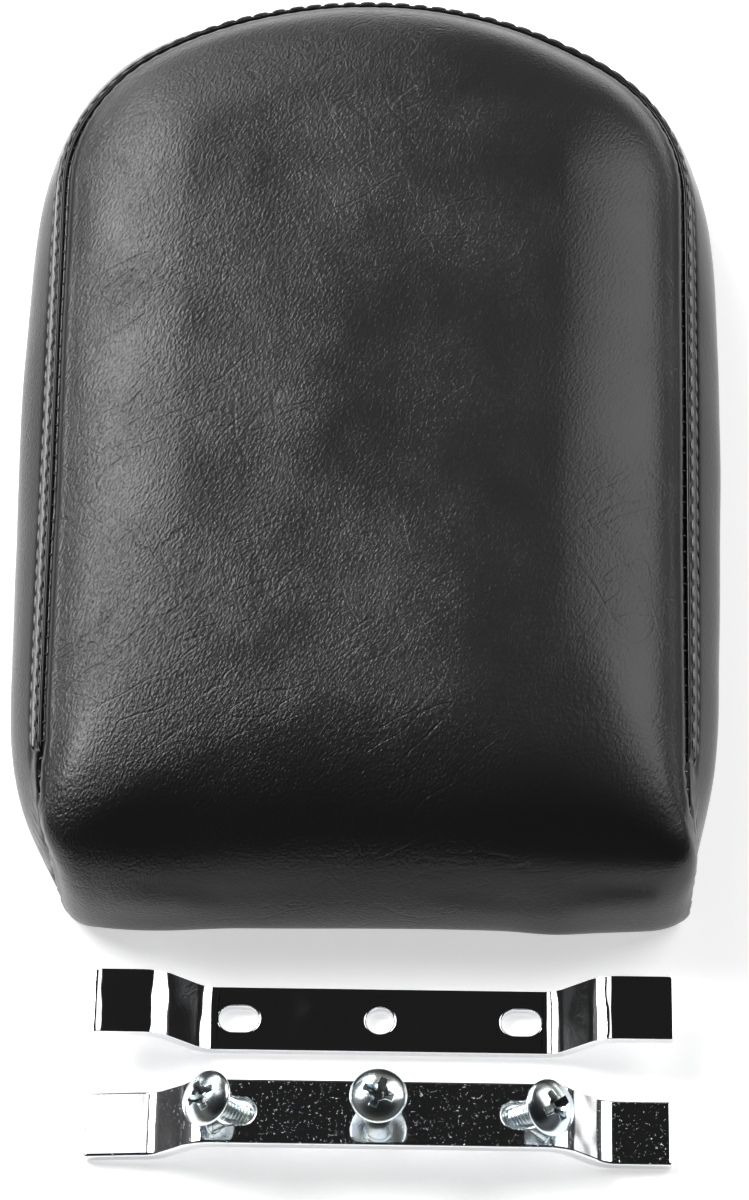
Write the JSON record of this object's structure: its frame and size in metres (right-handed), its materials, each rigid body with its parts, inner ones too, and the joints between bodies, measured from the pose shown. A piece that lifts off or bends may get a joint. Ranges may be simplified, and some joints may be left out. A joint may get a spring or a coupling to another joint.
{
  "type": "sissy bar pad",
  "caption": "Arch-topped padded motorcycle backrest in grained vinyl with a topstitched boxed edge, lying on its back with its loose joggled strap brackets and mounting screws.",
  "frame": {"origin": "centre of the board's flat back, in the plane that the pad lies on", "axes": "+X to the right, +Y up the pad towards its arched end, +Z out of the padded face"},
  "size_m": [0.1946, 0.3445, 0.0551],
  "materials": {
    "board": "painted black plywood",
    "foam": "open-cell foam",
    "vinyl_face": "semi-gloss grained vinyl",
    "vinyl_side": "semi-gloss grained vinyl",
    "vinyl_band": "semi-gloss grained vinyl, topstitched",
    "chrome": "mirror chrome plate",
    "zinc": "bright zinc plate"
  },
  "bodies": {
    "root": {"base_board": "board", "foam_core": "foam", "face_panel": "vinyl_face", "side_boxing": "vinyl_side", "seam_band": "vinyl_band", "insert_upper": "zinc", "insert_lower_left": "zinc", "insert_lower_right": "zinc", "bracket_upper": "chrome", "bracket_lower": "chrome", "screw_left": "zinc", "screw_middle": "zinc", "screw_right": "zinc"}
  },
  "joints": []
}
